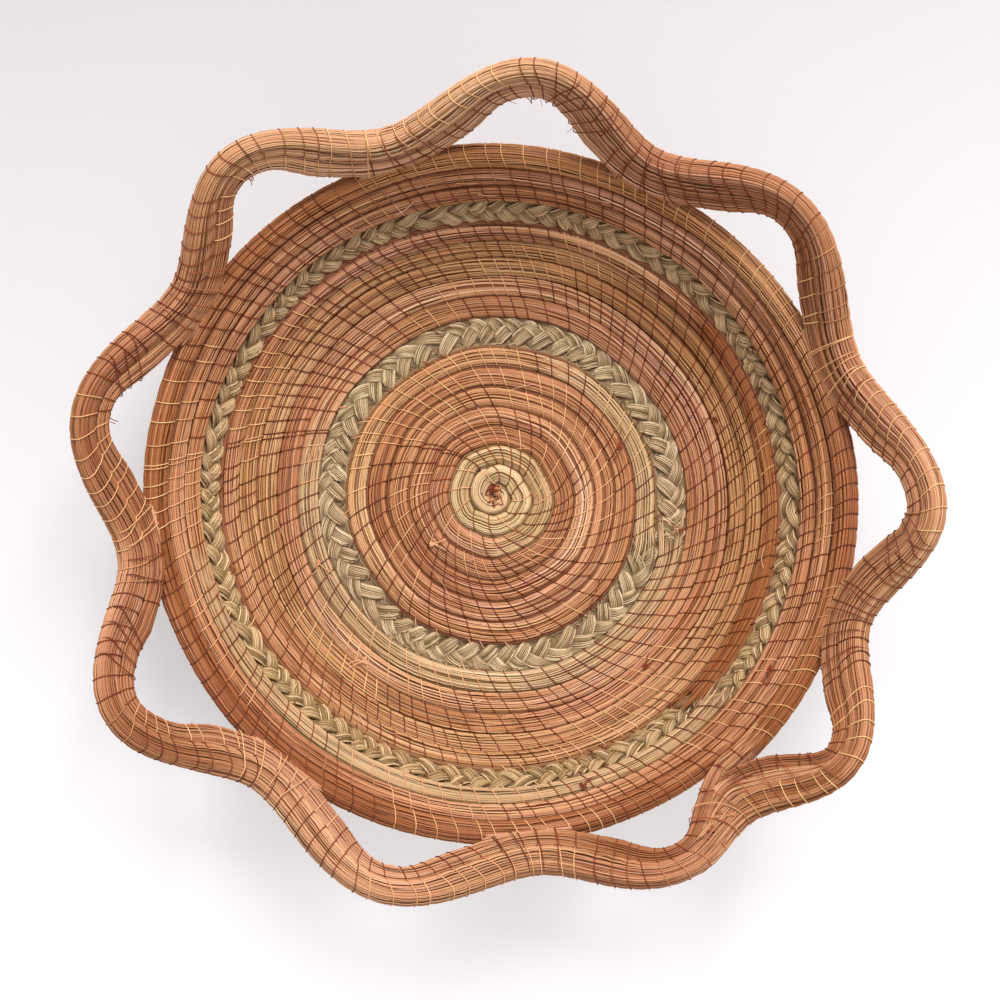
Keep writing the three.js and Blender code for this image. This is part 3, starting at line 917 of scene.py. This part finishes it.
def add_start(rng):
    """Middle of the base: curled needle ends, with the thread that starts the sewing knotted over them."""
    turn = START_TURN + np.linspace(0, 1, 40)[None]
    outward = np.stack([np.sin(FULL_TURN * turn), np.cos(FULL_TURN * turn), 0 * turn], axis=-1)
    half = (reach(turn)[..., None] - BASE_ROW / 2 + 1.2) / 2
    middle = outward * half
    middle[..., 2] = 2.0
    lift = np.broadcast_to([0, 0, 1.9], middle.shape)
    # The plug is darkened with painted shade, for the shade in the middle under the needle ends
    tint = np.broadcast_to([0.4, 0.7, 0.5], middle.shape)
    plug = tubes("start_knot_plug", middle, lift, outward * half, np.ones(turn.shape), tint, sides=10)
    finish_piece(plug, SLOTS["start_knot"], "start_knot", material="needle_pale")
    lines = []
    count = 60
    depths = rng.uniform(0, 0.6, count)
    for index in range(count):
        share = np.linspace(0, rng.uniform(0.55, 1), 26)
        middle, outward, width = start_tail(share)
        angle = FULL_TURN * (index + rng.uniform(-PLACE_UNEVEN, PLACE_UNEVEN)) / count
        out, rise = section(width, angle + 0.5 * share, 0.3 + depths[index])
        line = middle + outward * out[:, None]
        line[:, 2] = np.maximum(2.6 + np.minimum(rise, 2.8 - 0.9 * share - depths[index]), 0.4)
        lines.append(line)
    tones = rng.normal(0.6, 0.25, count).clip(0, 1)
    # Needle ends that lie deeper get painted shade
    finish_piece(line_piece("start_needle_ends", lines, tones, 0.3, dark=0.9 * depths), "needle_pale")
    loops = []
    knots, rings = 9, 70
    share = np.arange(rings) / rings * FULL_TURN
    for index in range(knots):
        size = rng.uniform(1.2, 2.4)
        angle = FULL_TURN * index / knots
        moves = [knot_wave(share, rng) for _ in range(3)]
        x = -0.6 + 2.2 * math.sin(angle) + size * moves[0]
        y = -0.2 + 3.0 * math.cos(angle) + size * 1.15 * moves[1]
        loops.append(np.stack([x, y, 5.0 + 0.7 * moves[2]], axis=-1))
    tones = rng.uniform(0.2, 0.95, knots)
    knot = line_piece("start_thread_knot", loops, tones, THREAD_RADIUS, closed=True, hue=0.1)
    finish_piece(knot, "thread")


# Small knots: turn, how far outward, size and tone
KNOTS = [(6.192, 2.3, 1.0, 0.7), (10.385, 0.4, 0.9, 0.8), (11.197, -1.2, 0.9, 0.8), (16.339, -2.9, 1.3, 0.7),
         (14.453, 3.3, 1.3, 0.8), (8.692, 0.4, 1.0, 0.3), (8.282, 4.1, 1.0, 0.7), (3.644, 1.5, 1.4, 0.1),
         (9.606, 1.2, 1.5, 0.1)]


def add_loose_ends(rng):
    """Small knots in the sewing thread, thread ends, frayed needle tips and hairs."""
    loops, tones, ends, end_tones = [], [], [], []
    for turn, out, size, tone in KNOTS:
        rise = BUNDLE_TOP * float(row_width(turn))
        for _ in range(2):
            loops.append(tangle(row_path, turn, out, rise, size, rng))
            tones.append(tone)
        for _ in range(3):
            ends.append(stray(row_path, turn, out, rise, rng.uniform(0, FULL_TURN), rng.uniform(3, 8), 0.9,
                              rng.uniform(-1.5, 1.5)))
            end_tones.append(tone)
    ends.append(stray(row_path, 6.353, -1.2, 3.6, 0.2, 19, 1.2, 0.5))
    end_tones.append(0.8)
    for share in np.linspace(0, 1, 5):
        turn = rim_turn(503.6 + 3.4 * share)
        loops.append(tangle(outer_path, turn, rng.normal(-1.5, 1.0), 3.9, 1.6, rng))
        tones.append(rng.uniform(0.3, 0.65))
    finish_piece(line_piece("thread_knots", loops, tones, THREAD_RADIUS, closed=True, hue=0.15), "thread")
    for degrees, out in ((365.7, -4.0), (321.8, -3.8), (152.5, 3.8), (281.2, -3.8)):
        for _ in range(5):
            heading = rng.uniform(0, FULL_TURN)
            turn = rim_turn(degrees) + rng.normal(0, 0.005)
            ends.append(stray(inner_path, turn, out, 1.0, heading, rng.uniform(2, 4.5), 0.8,
                              rng.uniform(-1.8, 1.8)))
            end_tones.append(rng.uniform(0.4, 0.7))
    finish_piece(line_piece("thread_ends", ends, end_tones, 0.17, hue=0.2), "thread")
    hairs = []
    for _ in range(25):
        turn = rim_turn(rng.uniform(150, 498))
        path = outer_path if rng.uniform() < 0.6 else inner_path
        side = rng.choice([-1, 1])
        hairs.append(stray(path, turn, side * 3.3, 0.8, side * rng.uniform(0.2, 1.0), rng.uniform(2, 5), 0.6,
                           rng.uniform(-0.8, 0.8)))
    for _ in range(45):
        turn, out = rng.uniform(3, 17), rng.uniform(-2, 2)
        heading = rng.choice([0, math.pi]) + rng.normal(0, 0.3)
        hairs.append(stray(row_path, turn, out, 3.3, heading, rng.uniform(5, 12), 0.9, rng.normal(0, 0.4)))
    finish_piece(line_piece("loose_hairs", hairs, rng.uniform(0.2, 1, len(hairs)), 0.11), "needle_brown")


def add_junction(rng):
    """Needles of the inner coil's end, spread into the wedge where the border's two ends meet."""
    count, rings = 72, 26
    share = np.linspace(0, 1, rings)
    lines, depths = [], []
    for index in range(count):
        begin, finish = rng.uniform(486, 491), rng.uniform(504, 508.5)
        turn = rim_turn(begin + (finish - begin) * share)
        inner, outer = wedge_edges(turn)
        gap = np.linalg.norm(outer - inner, axis=-1) - BORDER_ROW
        spread = 0.7 + 0.5 * np.maximum(gap, 0)
        across = rng.uniform(-1, 1)
        upper = 1 if index % 3 else -1
        depth = rng.uniform(0, 0.7)
        depths.append(depth)
        wave = 0.15 * np.sin(FULL_TURN * (share * 1.5 + rng.uniform()))
        rise = upper * (2.9 - 0.4 * abs(across) - depth) + wave
        lines.append(beside(wedge_path, turn, across * spread, rise))
    tones = rng.normal(0.42, 0.22, count).clip(0, 0.75)
    # Needles that lie deeper get painted shade
    wedge = line_piece("border_inner_coil_end", lines, tones, 0.36, dark=0.75 * np.array(depths))
    finish_piece(wedge, SLOTS["border_inner_coil"], material="border")


def add_gussets(rng):
    """Needles of the inner coil that spread over the rim on both sides of each valley."""
    lines, depths = [], []
    for valley in VALLEYS:
        for way in (-1, 1):
            off = np.linspace(0, 14, 80)
            turn = rim_turn(valley + way * off)
            apart = np.linalg.norm(inner_path(turn) - row_path(turn - 1), axis=-1)
            end = off[np.argmax(apart > (BORDER_ROW + WALL_ROW) / 2 + 4.2)]
            for level in np.linspace(-1, 1, 14):
                turn = rim_turn(valley + way * end * np.linspace(0.1, rng.uniform(0.85, 1.02), 16))
                inner, _, up, _ = frame_on(inner_path, turn)
                rim = row_path(turn - 1)
                apart = np.linalg.norm(inner - rim, axis=-1, keepdims=True)
                gap = np.maximum(apart - (BORDER_ROW + WALL_ROW) / 2, 0)
                across = level * (gap / 2 + 1.2)
                depths.append(rng.choice([0.0, 0.1, 0.55]))
                middle = rim + (inner - rim) * (WALL_ROW + gap) / (BORDER_ROW + WALL_ROW + 2 * gap)
                lines.append(middle + (inner - rim) / apart * across + up * (2.9 - depths[-1] - 0.15 * gap))
    tones = rng.normal(0.42, 0.24, len(lines)).clip(0, 0.8)
    # Needles that lie deeper get painted shade
    ends = line_piece("border_inner_coil_spread", lines, tones, 0.27, dark=0.95 * np.array(depths))
    finish_piece(ends, SLOTS["border_inner_coil"], material="border")


def add_lashings(rng):
    """Long stitches over both coils of the border: where its ends meet, in valleys and on some flanks."""
    places = [(degrees, degrees + 2.4, 0.62) for degrees in (489, 492.5, 495.5, 498.5, 502, 505)]
    places.append((502, 506.5, 0.2))
    for valley in VALLEYS:
        for shift in (-4.2, -1.4, 1.4, 4.2):
            degrees = valley + shift
            tone = run_tones(rim_turn(np.array([degrees])), INNER_THREADS, rng)[0]
            places.append((degrees, degrees + rng.normal(1.2, 0.3), tone))
    for low, high in LASHED_FLANKS:
        for degrees in np.arange(low, high, 1.7):
            places.append((degrees, degrees + rng.uniform(-2.6, -1.4), rng.uniform(0.75, 0.95)))
    share = np.linspace(0, 1, 18)[:, None]
    lines = []
    for outer, inner, _ in places:
        turn = rim_turn(outer + (inner - outer) * share[:, 0])
        inside, outside = wedge_edges(turn)
        _, _, up, side = frame_on(outer_path, turn)
        width = bundle_width(outer_path, turn)[:, None]
        outside = outside + side * width * 0.5
        inside = inside - side * bundle_width(inner_path, turn)[:, None] * 0.5
        rise = BUNDLE_TOP * width * (1 - np.abs(2 * share - 1) ** 14) + 0.2
        lines.append(outside * (1 - share) + inside * share + up * rise)
    tones = [tone for _, _, tone in places]
    finish_piece(line_piece("border_lashing", lines, tones, THREAD_RADIUS), "thread")


def add_plaits(rng):
    for node, (start, end), pitch, lean, tone, painted_light_back in PLAITS:
        slot, look = SLOTS[node], LOOKS[node]
        bands = plait(f"{node}_plait", start, end, pitch, lean, tone, painted_light_back, rng)
        finish_piece(bands, slot, node, material=look)
        finish_piece(plait_core(f"{node}_core", start, end, pitch, lean), slot, material=look)
        finish_piece(plait_edges(f"{node}_edges", start, end, rng), slot, material=look)


def add_border(rng):
    inner, outer = border_stitches(rng)
    start, end = rim_turn(OUTER_COIL_SEAM), rim_turn(INNER_COIL_END)
    add_coil("border_inner_coil", inner_path, RIM_COIL_END, end, inner, INNER_COIL_LIGHTER, True, rng)
    add_coil("border_outer_coil", outer_path, start, start + 1, outer, OUTER_COIL_LIGHTER, False, rng)
    for name, stitches in (("border_inner_thread", inner), ("border_outer_thread", outer)):
        add_threads(name, stitches, bundle_width(stitches.path, stitches.turns), THREAD_SINK)


def add_row_threads(sewn, rng):
    """Stitches round the rows, in four pieces, and those over both edges of the plaits."""
    braided = np.zeros(len(sewn.turns), bool)
    for start, end in (INNER_BRAID, OUTER_BRAID):
        braided |= (sewn.turns > start) & (sewn.turns < end)
    edges = [START_TURN, INNER_BRAID[0], 11.0, OUTER_BRAID[0], RIM_COIL_END]
    for number, (low, high) in enumerate(zip(edges[:-1], edges[1:])):
        wanted = ~braided & (sewn.turns >= low) & (sewn.turns < high)
        stitches = Stitches(row_path, sewn.turns[wanted], sewn.slants[wanted], sewn.tones[wanted])
        add_threads(f"row_thread_{number + 1}", stitches, row_width(stitches.turns), THREAD_SINK)
    for name, side, share in (("plait_thread_inner", -1, 0.5), ("plait_thread_outer", 1, 0.25)):
        def edge_path(turn, side=side):
            return bowl_point(turn, reach(turn) + side * row_width(turn) / 2)
        wanted = braided & (rng.uniform(0, 1, len(braided)) < share)
        turns = sewn.turns[wanted]
        stitches = Stitches(edge_path, turns, np.full(len(turns), 0.7), sewn.tones[wanted])
        add_threads(name, stitches, np.full(len(turns), 5.0), 0.0)


def build_basket():
    rng = np.random.default_rng(7)
    sewn = row_stitches(rng)
    for node, start, end, lighter in STRETCHES:
        add_coil(node, row_path, start / 24, end / 24, sewn, lighter, node != "rim_coil", rng)
    add_plaits(rng)
    add_border(rng)
    add_row_threads(sewn, rng)
    add_start(rng)
    add_junction(rng)
    add_gussets(rng)
    add_lashings(rng)
    add_loose_ends(rng)


def build_stage():
    """Pale floor, soft light from the back and a camera that looks straight down, as in the photograph."""
    mesh = bpy.data.meshes.new("floor")
    corners = ((-1, -1), (1, -1), (1, 1), (-1, 1))
    mesh.from_pydata([(x * FLOOR_HALF, y * FLOOR_HALF, -FLOOR_DROP) for x, y in corners], [], [(0, 1, 2, 3)])
    floor = add_object("floor", mesh)
    material, tree, shader = new_material("floor")
    place = tree.nodes.new("ShaderNodeTexCoord").outputs["Object"]
    aslant = tree.nodes.new("ShaderNodeVectorMath")
    aslant.operation = "DOT_PRODUCT"
    set_inputs(tree, aslant, {0: place, 1: (0.2, -0.98, 0.0)})
    fall = range_node(tree, {"Value": aslant.outputs["Value"], "From Min": -0.24, "From Max": 0.12})
    # The floor glows: painted light, brighter towards the front and a little to the right, which keeps
    # shadows on it weak
    painted_floor_light = ramp_node(tree, fall, [(66, 63, 65), (190, 189, 190)])
    grain = ramp_node(tree, noise_node(tree, 3.0, 2.0, place), [(176, 173, 175), (184, 181, 183)])
    set_inputs(tree, shader, {"Emission Color": painted_floor_light, "Emission Strength": 1.0, "Base Color": grain,
                              "Roughness": 0.85})
    floor.data.materials.append(material)

    world = bpy.data.worlds.new("studio")
    world.use_nodes = True
    set_inputs(world.node_tree, world.node_tree.nodes["Background"],
               {"Color": (1.0, 0.99, 0.985, 1.0), "Strength": SKY_STRENGTH})
    scene = bpy.context.scene
    scene.world = world
    light = bpy.data.lights.new("key", "AREA")
    light.size = LIGHT_SIZE
    light.energy = LIGHT_POWER
    lamp = add_object("key", light)
    away = LIGHT_DISTANCE * math.cos(LIGHT_ELEVATION)
    lamp.location = (away * math.sin(LIGHT_AZIMUTH), away * math.cos(LIGHT_AZIMUTH),
                     LIGHT_DISTANCE * math.sin(LIGHT_ELEVATION))
    lamp.rotation_euler = (math.pi / 2 - LIGHT_ELEVATION, 0, math.pi - LIGHT_AZIMUTH)

    view = bpy.data.cameras.new("camera")
    camera = add_object("camera", view)
    camera.location = (CAMERA_AIM[0] * MM, CAMERA_AIM[1] * MM, CAMERA_HEIGHT * MM)
    view.lens = view.sensor_width * CAMERA_HEIGHT / FIELD_WIDTH
    scene.camera = camera
    scene.view_settings.view_transform = "Standard"


build_basket()
build_stage()
